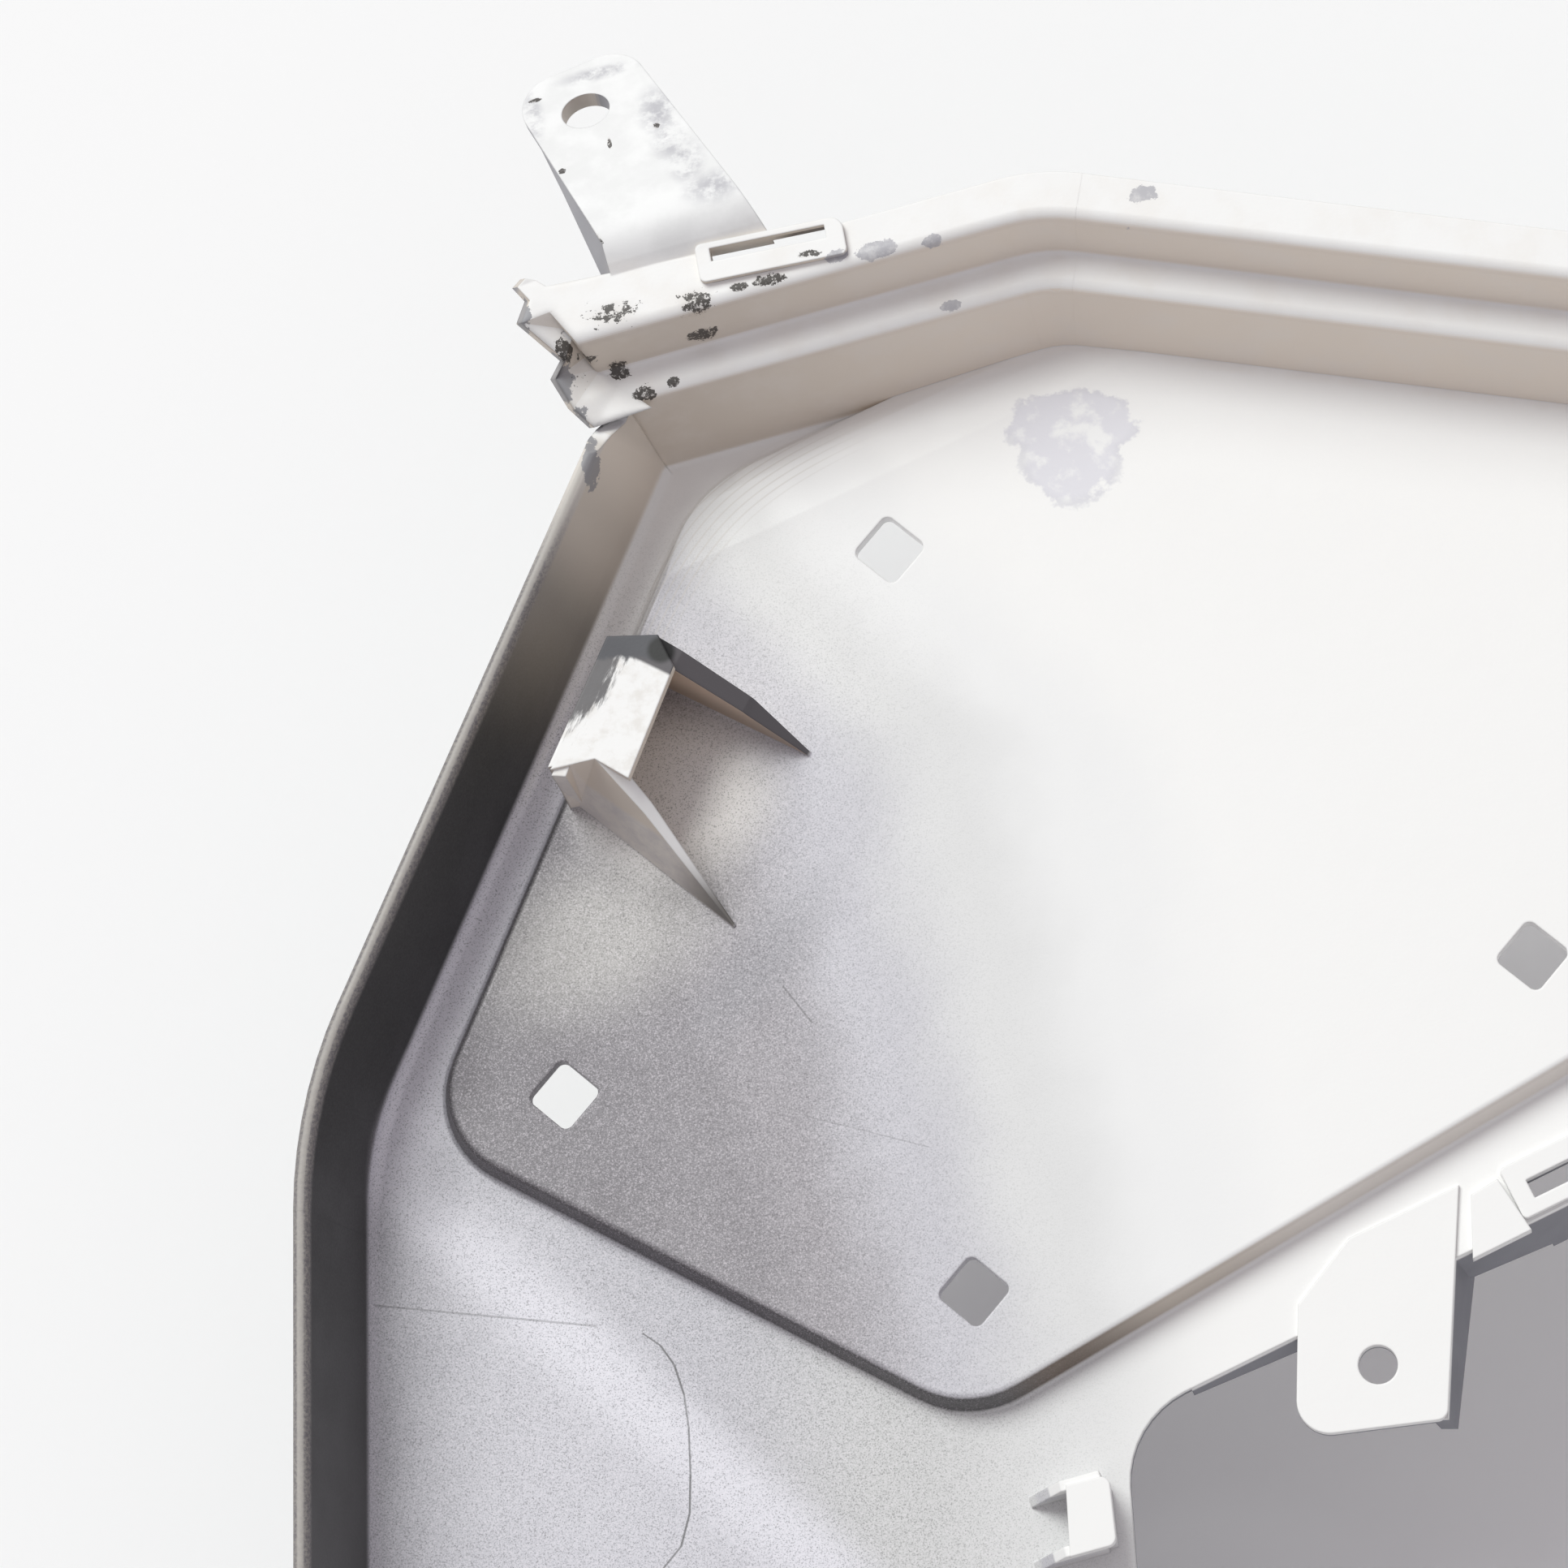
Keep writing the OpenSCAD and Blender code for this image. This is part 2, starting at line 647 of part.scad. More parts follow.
module tab_side_rib() {
    o0 = 5;
    o1 = tab_reach - 8;
    u0 = -13.2;
    u1 = u0 - (o1 - o0) * tan(tab_lean);
    om = (o0 + o1) / 2;
    rib = [
        [u0, o0, tab_z(o0) - 2.4], [u0, 0, flange_h - 1.4], [u0 - 1.4, 0.5, flange_h - 6],
        [u0 - 2.2, o0, tab_z(o0) - tab_rib], [(u0 + u1) / 2 - 1, om, tab_z(om) - 7],
        [u1 - 0.3, o1 + 1, tab_z(o1) - 3.4], [u1, o1, tab_z(o1) - 1]
    ];
    sheet(rib, fan(rib), [wall, 0, 0], all(1, rib));
}

module tab_hole() {
    o = tab_reach - tab_hole_back;
    tab_frame()
        translate([tab_hole_u, o, tab_z(o)]) rotate([-tab_slope, 0, 0])
            translate([0, 0, -lap]) cylinder(h = 2 * lap, r = tab_hole_r);
}

// Slot boss on the edge of the flange, beside the tab.
module slot_boss() {
    tab_frame() rotate([0, 0, -spread_angle]) translate([0.3, 1.1 - boss_w, flange_h - wall / 2])
        linear_extrude(wall / 2 + boss_h)
            rounded([[0, boss_w, 1], [boss_l, boss_w, 2], [boss_l, 0, 1], [0, 0, 1]]);
}

module slot_cut() {
    tab_frame() rotate([0, 0, -spread_angle]) translate([(boss_l - slot_l) / 2, -2, flange_h - 2 * wall])
        cube([slot_l, slot_w, 3 * wall]);
}

// Large hook over the left edge of the plate: top, end wall and two side gussets.
module large_hook() {
    translate([0, 0, hook_h - hook_wall]) linear_extrude(hook_wall)
        polygon([[-65.9, 28.6], [-57.3, 49.1], [-49.4, 49.2], [-46.9, 44.2], [-53.5, 26.7], [-58.7, 29.8]]);
    linear_extrude(hook_h - 0.5)
        polygon([[-65.4, 27.4], [-57.1, 48.9], [-55.2, 48.6], [-63.2, 27.2]]);
    translate([-50.1, 45.6, 0]) rotate([0, 0, -27]) intersection() {
        linear_extrude(hook_h)
            polygon([[-7.4, -0.2], [-1, 3.35], [15, 2.7], [25.2, 0.5], [25.2, 0], [-4, 0]]);
        rotate([90, 0, 0]) translate([0, 0, -2 * lap]) linear_extrude(4 * lap)
            polygon([[-8, 0], [-8, hook_h - 0.7], [-1, hook_h - 0.7], [3.2, hook_h - 1.6], [14.3, 14.2],
                     [15, 13.2], [24.8, 4.4], [26, 4.2], [26, 0]]);
    }
    gusset = [
        [-65.2, 26.3, 0], [-65.6, 28.2, hook_h], [-58.7, 29.8, hook_h], [-51.8, 22.6, 17],
        [-39.4, 7.5, 4.7], [-39.4, 7.2, 3.5]
    ];
    sheet(gusset, fan(gusset), hook_wall * [0.6, 0.8, 0], [1, 1, 1.3, 1, 0.2, 0.2]);
}

// Small hook near the opening.
module small_hook() {
    up = small_hook_h;
    translate([0, 0, up - small_wall]) linear_extrude(small_wall)
        rounded([[12.3, -79.0, 0], [18.7, -77.4, 1.4], [19.9, -87.8, 1.4], [13.0, -89.7, 0]]);
    translate([0, 0, -1]) linear_extrude(up + 1 - small_wall / 2)
        polygon([[17.2, -79], [18.5, -78.6], [19.6, -87.1], [18.2, -87.5]]);
    translate([6.6, -81.3, 0]) rotate([0, 0, 15.7]) rotate([90, 0, 0])
        translate([0, 0, -small_wall]) linear_extrude(small_wall)
            polygon([[0, -1], [0, 0.3], [5.2, up - 0.6], [11.4, up - 0.6], [11.4, -1]]);
    translate([7.4, -91.1, 0]) rotate([0, 0, 15.7]) rotate([90, 0, 0])
        translate([0, 0, -small_wall]) linear_extrude(small_wall)
            polygon([[0, -1], [0, 0.3], [5.2, up - 0.6], [11.4, up - 0.6], [11.4, -1]]);
}

// Screw tab under the lower right edge, with its side rib. Local frame on the opening corner.
low_tab_x = v4[0] + low_tab_at * cos(return_angle) - 2.7;
low_tab_y = v4[1] + low_tab_at * sin(return_angle) + 3.5;
low_tab_end = low_tab_y - low_tab_reach;
low_tab_top = 0.6;

module lower_tab() {
    right = low_tab_x + low_tab_w;
    translate([0, 0, low_tab_top - wall]) linear_extrude(wall)
        rounded([
            [low_tab_x + 0.4, low_tab_y, 0], [low_tab_x + 8, low_tab_y + 10, 0], [right + 2, low_tab_y + 18, 0],
            [right, low_tab_end + 2.6, 1.8], [low_tab_x, low_tab_end - 0.2, 5]
        ]);
    rib = [
        [right + 1.8, low_tab_y + 16, low_tab_top - 1], [right + 4.4, low_tab_y + 10, -low_rib],
        [right + 1.4, low_tab_end + 2.0, -low_rib / 2 + 0.5], [right, low_tab_end + 2.8, low_tab_top - 1]
    ];
    sheet(rib, fan(rib), [-wall, 0, 0], all(1, rib));
}

module lower_hole() {
    translate([low_tab_x + low_hole_x, low_tab_end + low_hole_y, -tall / 2])
        cylinder(h = tall, r = low_hole_r);
}

// Wedge block and slot boss beside the lower tab.
module lower_boss() {
    translate([v4[0], v4[1], 0]) rotate([0, 0, return_angle]) translate([low_boss_at, 0.4, 0]) {
        translate([0, 0, -wall / 2]) linear_extrude(wall / 2 + 1.5)
            polygon([[-5.48, 6.91], [-0.83, 7.3], [0.21, -1.91], [-9.63, -1.96]]);
        translate([0, 0, -wall / 3]) linear_extrude(wall / 3 + boss_h)
            rounded([[0, 8.6, 0.8], [boss_l + 4, 8.6, 0.8], [boss_l + 4, 0, 0.8], [0, 0, 0.8]]);
    }
}

module lower_slot() {
    translate([v4[0], v4[1], -2 * wall]) rotate([0, 0, return_angle])
        translate([low_boss_at + 2.9, 2.7, 0]) cube([slot_l, low_slot_w, 4 * wall]);
}

module side_panel() {
    color([0.93, 0.93, 0.92])
    translate([0, 0, floor_z])
    difference() {
        union() {
            difference() {
                union() {
                    floor_slab();
                    return_wall();
                    left_wall();
                    rim();
                    end_wall();
                    plate();
                    large_hook();
                }
                right_cut();
                recess();
            }
            flange_wedge();
            skirt();
            upper_tab();
            slot_boss();
            small_hook();
            lower_tab();
            lower_boss();
        }
        clip_hole(clip_a_x, clip_a_y);
        clip_hole(clip_b_x, clip_b_y);
        clip_hole(clip_c_x, clip_c_y);
        clip_hole(clip_d_x, clip_d_y);
        tab_hole();
        slot_cut();
        lower_hole();
        lower_slot();
    }
}

side_panel();
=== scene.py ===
"""Looks of a motorcycle side panel: white ABS with silver overspray, seen from its inner side."""

import math

import bpy
from mathutils import Matrix, Vector


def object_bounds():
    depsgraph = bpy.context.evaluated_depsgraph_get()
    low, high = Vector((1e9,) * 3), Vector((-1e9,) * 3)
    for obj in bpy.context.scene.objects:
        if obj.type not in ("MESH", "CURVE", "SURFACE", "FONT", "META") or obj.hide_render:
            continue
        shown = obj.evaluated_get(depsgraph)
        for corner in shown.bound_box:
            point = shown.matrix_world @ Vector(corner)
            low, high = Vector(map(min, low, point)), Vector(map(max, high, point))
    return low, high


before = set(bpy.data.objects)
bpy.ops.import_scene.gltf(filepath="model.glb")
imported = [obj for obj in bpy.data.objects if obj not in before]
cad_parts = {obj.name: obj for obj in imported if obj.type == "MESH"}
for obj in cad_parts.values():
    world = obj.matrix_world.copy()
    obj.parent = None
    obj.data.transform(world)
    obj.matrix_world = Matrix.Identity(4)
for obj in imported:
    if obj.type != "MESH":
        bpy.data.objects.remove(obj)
cad_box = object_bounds()

MM = 0.001

# Corners of the floor in millimetres, clockwise seen from above
RIM_BEND = (10.0, 99.5)
RIM_LEFT = (-52.14, 82.97)
RIM_RIGHT = (175.5, 73.9)
RETURN_RIGHT = (175.5, 8.3)
WALL_ELBOW = (-96.2, -24.38)
WALL_FOOT = (-91.3, -165.0)
OPENING = (20.56, -68.18)
OPENING_FOOT = (28.0, -165.0)
PLATE_LEFT = (-86.7, -23.7)
PLATE_TOP = (-46.1, 78.3)
PLATE_BOTTOM = (-2.7, -67.8)
PLATE_RIGHT = (158.6, 27.7)

# Height of the plate in millimetres
PLATE_Z = 2.5

# Left edge of the large hook's top, and the line of its lower gusset
HOOK_LOW = (-65.9, 28.6)
HOOK_HIGH = (-57.3, 49.1)
GUSSET_ROOT = (-65.2, 26.3)
GUSSET_TIP = (-39.4, 7.5)

# Middle line of the pale band on the floor
BAND_LEFT = (-92, -31)
BAND_RIGHT = (-26, -89)

ALONG_X = (1, 0, 0)
ALONG_Y = (0, 1, 0)
UP = (0, 0, 1)

# The silver fades along this direction, and the side of the plate along the next
FADE_WAY = (1.0, 0.25, 0.0)
EDGE_WAY = (0.886, 0.464, 0.0)

# Directions in which the faces of the hook's gussets look that carry painted shade
UPPER_GUSSET_WAY = (-0.454, -0.891, 0)
LOWER_GUSSET_WAY = (-0.589, -0.808, 0)

# Metres between the part and the table, so that the table seen through the holes has the right shade
TABLE_DROP = 0.054

TABLE_ALBEDO = (0.948, 0.948, 0.948, 1.0)
SKY_COLOUR = (1.0, 0.955, 1.0, 1.0)
SKY_STRENGTH = 0.465
LAMP_COLOUR = (1.0, 1.035, 1.0)
LAMP_STRENGTH = 2.27
LAMP_SPREAD = 34
LAMP_WAY = (-0.42, 0.55, 0.78)


class Net:
    """Shader nodes as functions. A value is a number, a tuple or another node's output."""

    def __init__(self, name):
        self.material = bpy.data.materials.new(name)
        self.material.use_nodes = True
        self.tree = self.material.node_tree
        self.tree.nodes.clear()
        self.place = self.in_millimetres()
        self.normal = self.node("ShaderNodeNewGeometry").outputs["True Normal"]

    def node(self, kind, **settings):
        made = self.tree.nodes.new(kind)
        for name, value in settings.items():
            setattr(made, name, value)
        return made

    def feed(self, socket, value):
        if isinstance(value, bpy.types.NodeSocket):
            self.tree.links.new(value, socket)
        else:
            socket.default_value = value

    def in_millimetres(self):
        place = self.node("ShaderNodeTexCoord").outputs["Object"]
        return self.vector("MULTIPLY", place, (1 / MM, 1 / MM, 1 / MM))

    def vector(self, operation, a, b=(0, 0, 0)):
        made = self.node("ShaderNodeVectorMath", operation=operation)
        self.feed(made.inputs[0], a)
        self.feed(made.inputs[1], b)
        name = "Value" if operation in ("DOT_PRODUCT", "LENGTH") else "Vector"
        return made.outputs[name]

    def math(self, operation, a, b=0.0):
        made = self.node("ShaderNodeMath", operation=operation)
        self.feed(made.inputs[0], a)
        self.feed(made.inputs[1], b)
        return made.outputs[0]

    def product(self, first, *others):
        for other in others:
            first = self.math("MULTIPLY", first, other)
        return first

    def most(self, first, *others):
        for other in others:
            first = self.math("MAXIMUM", first, other)
        return first

    def least(self, first, *others):
        for other in others:
            first = self.math("MINIMUM", first, other)
        return first

    def smooth_least(self, a, b, reach):
        made = self.node("ShaderNodeMath", operation="SMOOTH_MIN")
        for socket, value in zip(made.inputs, (a, b, reach)):
            self.feed(socket, value)
        return made.outputs[0]

    def without(self, value):
        return self.math("SUBTRACT", 1.0, value)

    def step(self, value, low, high, to_low=0.0, to_high=1.0):
        """Rises smoothly from to_low to to_high between low and high."""
        made = self.node("ShaderNodeMapRange", interpolation_type="SMOOTHSTEP", clamp=True)
        sizes = (value, low, high, to_low, to_high)
        if low > high:
            sizes = (value, high, low, to_high, to_low)
        for socket, size in zip(made.inputs, sizes):
            self.feed(socket, size)
        return made.outputs["Result"]

    def noise(self, size, detail=3.0, rough=0.55, place=None):
        """Noise from about 0.3 to 0.7, whose lumps are about size millimetres."""
        made = self.node("ShaderNodeTexNoise")
        self.feed(made.inputs["Vector"], self.place if place is None else place)
        made.inputs["Scale"].default_value = 1 / size
        made.inputs["Detail"].default_value = detail
        made.inputs["Roughness"].default_value = rough
        return made.outputs["Fac"]

    def mix(self, share, a, b):
        made = self.node("ShaderNodeMix", data_type="RGBA")
        self.feed(made.inputs["Factor"], share)
        self.feed(made.inputs["A"], a)
        self.feed(made.inputs["B"], b)
        return made.outputs["Result"]

    def ramp(self, value, stops):
        """A colour for each place on value, where stops are (place, colour)."""
        made = self.node("ShaderNodeValToRGB")
        made.color_ramp.interpolation = "EASE"
        low = stops[0][0]
        reach = stops[-1][0] - low
        points = made.color_ramp.elements
        while len(points) < len(stops):
            points.new(0.5)
        for point, (where, colour) in zip(points, stops):
            point.position = (where - low) / reach
            point.color = colour
        self.feed(made.inputs["Fac"], self.math("DIVIDE", self.math("SUBTRACT", value, low), reach))
        return made.outputs["Color"]

    def facing(self, way):
        """How far the surface faces a way, from -1 to 1."""
        return self.vector("DOT_PRODUCT", self.normal, tuple(Vector(way).normalized()))

    def towards(self, way):
        """How far the place lies in a direction from the origin."""
        return self.vector("DOT_PRODUCT", self.place, way)

    def height(self):
        return self.towards(UP)

    def waver(self, size, depth, detail=3.0, rough=0.55):
        """Noise about 0, scaled by depth."""
        return self.product(self.math("SUBTRACT", self.noise(size, detail, rough), 0.5), depth)

    def beside(self, a, b):
        """Distance to the right of the line from a to b, seen from above."""
        along = Vector((b[0] - a[0], b[1] - a[1])).normalized()
        side = (along.y, -along.x)
        here = self.towards((side[0], side[1], 0))
        return self.math("SUBTRACT", here, side[0] * a[0] + side[1] * a[1])

    def along(self, a, b):
        """Distance from a towards b."""
        way = Vector((b[0] - a[0], b[1] - a[1])).normalized()
        here = self.towards((way.x, way.y, 0))
        return self.math("SUBTRACT", here, way.x * a[0] + way.y * a[1])

    def turned(self, vector, turn):
        """A vector turned round Z."""
        if not turn:
            return vector
        made = self.node("ShaderNodeVectorRotate", rotation_type="Z_AXIS")
        self.feed(made.inputs["Vector"], vector)
        made.inputs["Angle"].default_value = math.radians(turn)
        return made.outputs["Vector"]

    def patch(self, centre, reach, turn=0.0, edge=0.6):
        """1 inside an ellipsoid, falling to 0 at its surface. reach is its half sizes."""
        spot = self.turned(self.vector("SUBTRACT", self.place, tuple(centre)), -turn)
        spot = self.vector("DIVIDE", spot, tuple(reach))
        return self.step(self.vector("LENGTH", spot), 1.0, 1.0 - edge)

    def block(self, centre, half, turn=0.0, soft=0.5):
        """1 inside a box with half sizes half, turned round Z."""
        spot = self.turned(self.vector("SUBTRACT", self.place, tuple(centre)), -turn)
        spot = self.vector("ABSOLUTE", spot)
        parts = self.node("ShaderNodeSeparateXYZ")
        self.feed(parts.inputs[0], spot)
        sides = [
            self.step(out, size + soft / 2, size - soft / 2)
            for out, size in zip(parts.outputs, half)
        ]
        return self.product(*sides)

    def stroke(self, a, b, width, soft=0.5):
        """1 along the line from a to b on the floor plan, width wide."""
        centre = Vector(((a[0] + b[0]) / 2, (a[1] + b[1]) / 2))
        half = Vector((b[0] - a[0], b[1] - a[1])).length / 2
        across = self.math("ABSOLUTE", self.beside(a, b))
        away = self.math("ABSOLUTE", self.along(tuple(centre), b))
        return self.product(
            self.step(across, width * (1 + soft), width * (1 - soft)),
            self.step(away, half + width, half - width),
        )


def grey(value, tint):
    """The linear colour of a grey from 0 to 255, with a tint."""
    linear = ((value / 255 + 0.055) / 1.055) ** 2.4
    return (linear * tint[0], linear * tint[1], linear * tint[2], 1.0)


NEUTRAL = (1.0, 1.0, 1.0)
LAVENDER = (1.01, 1.0, 1.07)
MAUVE = (1.07, 1.0, 1.07)
PALE_MAUVE = (1.045, 1.0, 1.06)
CREAM = (1.025, 1.0, 0.965)
BEIGE = (1.06, 1.0, 0.93)
WARM = (1.11, 1.0, 0.87)
BLUE = (0.97, 0.985, 1.1)
BROWN = (1.25, 1.0, 0.8)

WHITE = grey(244, (1.0, 0.995, 0.985))


def plate_colour(net):
    """Silver overspray on the plate: darkest at the lower left, fading towards the upper right."""
    straight = 27.75
    high = net.most(net.towards((0, 0.75, 0)), straight)
    across = net.math("ADD", net.towards(FADE_WAY), net.math("SUBTRACT", high, straight))
    across = net.math("ADD", across, net.waver(18, 14.0))
    colour = net.ramp(across, [
        (-75.0, grey(134, PALE_MAUVE)),
        (-48.0, grey(146, PALE_MAUVE)),
        (-38.0, grey(158, PALE_MAUVE)),
        (-20.0, grey(197, LAVENDER)),
        (0.0, grey(222, NEUTRAL)),
        (20.0, grey(238, NEUTRAL)),
        (42.0, WHITE),
    ])
    # Less silver in the lee of the hook
    lee = net.patch((-60.0, 7.0, PLATE_Z), (29, 18, 9), 26, 0.8)
    colour = net.mix(net.product(lee, 0.75), colour, grey(186, CREAM))
    # Between the hook's gussets the plate is paler, and is painted lighter still as painted light
    # against the hook's shadow
    inside = net.patch((-49.0, 29.0, PLATE_Z), (20, 17, 9), 0, 0.6)
    colour = net.mix(net.product(inside, 0.95), colour, grey(238, CREAM))
    drift = net.patch((-35.0, 2.0, PLATE_Z), (24, 8, 9), 52, 0.9)
    return net.mix(net.product(drift, 0.6), colour, grey(156, LAVENDER))


def floor_colour(net):
    """Silver of the floor: a pale band slants away from the plate, white towards the rim, and painted
    light next to the left wall.
    """
    band_side = net.beside(BAND_LEFT, BAND_RIGHT)
    along = net.towards(ALONG_X)
    low = net.ramp(along, [(-96.0, grey(190, LAVENDER)), (-60.0, grey(205, LAVENDER))])
    high = net.ramp(along, [
        (-72.0, grey(196, LAVENDER)),
        (-46.0, grey(190, LAVENDER)),
        (-14.0, grey(203, NEUTRAL)),
        (14.0, grey(222, NEUTRAL)),
        (60.0, WHITE),
    ])
    base = net.mix(net.step(band_side, -4.0, 6.0), high, low)
    band = net.step(net.math("ABSOLUTE", band_side), 9.0, 1.0)
    band = net.product(band, net.step(along, 2.0, -24.0), 0.85)
    base = net.mix(band, base, grey(224, LAVENDER))
    towards_rim = net.along(WALL_ELBOW, RIM_LEFT)
    from_wall = net.beside(WALL_ELBOW, RIM_LEFT)
    # Painted light: the floor next to the left wall is lighter, to lift the shadow that the wall casts
    # there
    wall_strip_painted_light = net.mix(net.step(from_wall, 4.0, 15.0), grey(240, LAVENDER), grey(200, LAVENDER))
    strip = net.mix(net.step(towards_rim, 66.0, 92.0), wall_strip_painted_light, WHITE)
    beside_wall = net.step(from_wall, 30.0, 18.0)
    base = net.mix(net.step(along, 10.0, 40.0), base, WHITE)
    return net.mix(net.product(net.step(towards_rim, -10.0, 6.0), beside_wall), base, strip)


def plate_side_silver_and_shade(net):
    """Side of the plate with painted shade: dark silver at the lower left, where there is silver paint
    too, brown at the bottom, beige at the right, lighter towards the top.
    """
    colour = net.ramp(net.towards(EDGE_WAY), [
        (-85.0, grey(104, MAUVE)),
        (-60.0, grey(92, MAUVE)),
        (-30.0, grey(100, NEUTRAL)),
        (-18.0, grey(112, BROWN)),
        (4.0, grey(196, WARM)),
        (30.0, grey(222, BEIGE)),
        (120.0, grey(232, BEIGE)),
    ])
    top = net.step(net.towards(ALONG_Y), 22.0, 56.0)
    return net.mix(top, colour, grey(226, NEUTRAL))


def paint_speckle(net, colour, amount):
    """Metal flakes: fine light and dark grains in a coat of silver paint."""
    grains = net.noise(0.26, 2, 0.8)
    light = net.step(grains, 0.5, 0.7)
    dark = net.step(grains, 0.5, 0.3)
    colour = net.mix(net.product(dark, amount, 0.6), colour, grey(92, MAUVE))
    return net.mix(net.product(light, amount, 0.42), colour, grey(232, MAUVE))


def rough_edge(net, mask, size, depth):
    """A soft mask turned into one with a crisp, uneven border."""
    crisp = net.step(net.math("ADD", mask, net.waver(size, depth, 4, 0.7)), 0.42, 0.52)
    return net.product(crisp, net.step(mask, 0.0, 0.12))


def spots(net, places, turn=0.0, edge=0.9, depth=3.0):
    """The strongest of several patches, each (x, y, z, half length, half width)."""
    masks = [net.patch(p[:3], (p[3], p[4], depth), turn, edge) for p in places]
    return net.most(*masks)


def dirt(net, colour):
    """Black-brown dirt and lavender paint smudges round the upper left corner."""
    smudges = spots(net, [
        (-16.1, 107.9, 27.5, 5.6, 2.6),
        (-7.2, 109.1, 27.5, 3.0, 2.0),
        (-22.0, 107.0, 27.5, 3.4, 1.8),
        (21.2, 109.5, 27.5, 6.4, 2.2),
        (25.1, 115.9, 27.5, 4.0, 2.4),
        (-5.4, 102.0, 17.5, 3.0, 1.6),
    ], 12)
    on_tab = spots(net, [
        (-41.0, 118.6, 28.5, 7.0, 4.4),
        (-46.0, 124.0, 25.5, 4.0, 7.0),
        (-51.4, 134.4, 19.6, 4.6, 7.5),
        (-48.6, 128.1, 23.5, 4.4, 6.0),
        (-71.6, 135.0, 17.0, 2.4, 8.0),
        (-62.0, 143.0, 15.0, 9.0, 2.0),
    ], 12, 0.9, 12.0)
    smudges = rough_edge(net, smudges, 2.6, 1.7)
    worn_off = net.step(net.noise(4.0, 4, 0.65), 0.36, 0.6)
    smudges = net.most(smudges, net.product(on_tab, worn_off))
    streaky = net.step(net.noise(2.0, 4, 0.7), 0.3, 0.6)
    streaky = net.math("ADD", net.product(streaky, 0.4), 0.5)
    colour = net.mix(net.product(smudges, streaky), colour, grey(178, LAVENDER))
    film = spots(net, [
        (-66.0, 89.5, 22.0, 4.5, 8.0),
        (-62.6, 82.0, 21.0, 3.0, 6.0),
        (-70.5, 99.0, 26.0, 2.4, 5.0),
        (-60.5, 77.0, 20.0, 2.2, 8.0),
    ], 0, 0.9, 6.0)
    film = rough_edge(net, film, 2.0, 1.6)
    colour = net.mix(net.product(film, 0.8), colour, grey(128, BLUE))
    black = spots(net, [
        (-56.8, 98.8, 26.0, 8.6, 4.0),
        (-43.8, 100.6, 26.5, 4.6, 3.2),
        (-43.4, 97.6, 20.0, 4.0, 2.0),
        (-26.2, 107.2, 27.5, 2.6, 1.1),
        (-32.5, 103.5, 27.5, 4.0, 1.3),
        (-37.0, 102.5, 27.5, 2.6, 1.2),
        (-66.5, 99.3, 24.0, 2.0, 3.4),
        (-61.2, 91.2, 22.0, 3.2, 5.0),
        (-59.3, 109.6, 30.6, 2.0, 2.6),
        (-64.4, 94.0, 24.0, 2.0, 3.6),
        (-52.7, 88.9, 17.5, 2.4, 2.0),
        (-48.3, 90.7, 17.5, 1.4, 1.2),
        (-56.8, 92.5, 18.5, 3.0, 2.6),
        (-71.7, 138.4, 15.2, 1.4, 0.7),
        (-65.7, 123.6, 23.1, 0.8, 0.8),
        (-58.6, 128.6, 21.6, 0.5, 2.0),
        (-51.3, 131.4, 21.0, 0.9, 0.9),
    ], 12)
    stain = net.product(net.step(black, 0.05, 0.8), 0.22)
    colour = net.mix(stain, colour, grey(150, BROWN))
    black = rough_edge(net, black, 1.5, 2.6)
    black = net.product(black, net.step(net.noise(0.7, 3, 0.8), 0.34, 0.47))
    return net.mix(net.product(black, 0.92), colour, grey(44, BROWN))


def blotch(net, colour):
    """A dried smear of grey paint on the plate."""
    smear = net.most(
        net.patch((12.2, 87.2, PLATE_Z), (20.5, 10.6, 4), 0, 1.0),
        net.patch((12.0, 82.6, PLATE_Z), (14.5, 16.0, 4), 0, 1.0),
    )
    shape = rough_edge(net, smear, 6.0, 0.8)
    inner = net.mix(net.step(net.noise(6.0, 4, 0.6), 0.5, 0.64), grey(222, LAVENDER), grey(242, NEUTRAL))
    rim = net.product(shape, net.step(smear, 0.62, 0.44), 0.5)
    colour = net.mix(net.product(shape, 0.92), colour, inner)
    return net.mix(rim, colour, grey(206, LAVENDER))


def fine_lines(net, colour):
    """Mould marks, the crease on the lower floor and small scratches."""
    left = net.beside(PLATE_LEFT, PLATE_TOP)
    top = net.beside(PLATE_TOP, (1.8, 100.0))
    inward = net.smooth_least(left, top, 22.0)
    wave = net.math("SINE", net.product(inward, 5.2))
    near = net.product(net.step(inward, 6.4, 4.0), net.step(inward, -4.0, -2.0))
    near = net.product(near, net.patch((-44.0, 71.0, PLATE_Z), (32, 21, 9), 42, 0.6))
    marks = net.product(net.step(wave, 0.6, 0.98), near, 0.4)
    colour = net.mix(marks, colour, grey(196, BEIGE))
    lines = [
        ((-94.5, -50.0), (-60.0, -53.4), 0.16, 0.4),
        ((-53.0, -54.5), (-50.2, -56.4), 0.12, 0.7),
        ((-50.2, -56.4), (-48.0, -59.4), 0.14, 0.8),
        ((-48.0, -59.4), (-46.4, -64.0), 0.16, 0.8),
        ((-46.4, -64.0), (-45.6, -69.0), 0.14, 0.6),
        ((-45.6, -69.0), (-45.2, -76.0), 0.14, 0.7),
        ((-45.2, -76.0), (-45.2, -82.0), 0.16, 0.8),
        ((-45.2, -82.0), (-46.4, -87.0), 0.16, 0.8),
        ((-46.4, -87.0), (-49.6, -91.0), 0.14, 0.7),
        ((-49.6, -91.0), (-55.0, -94.0), 0.12, 0.5),
        ((-31.7, -1.8), (-27.2, -7.5), 0.14, 0.5),
        ((-28.0, -22.0), (-9.0, -27.0), 0.1, 0.25),
    ]
    for start, end, width, share in lines:
        colour = net.mix(net.product(net.stroke(start, end, width), share), colour, grey(96, NEUTRAL))
    return colour


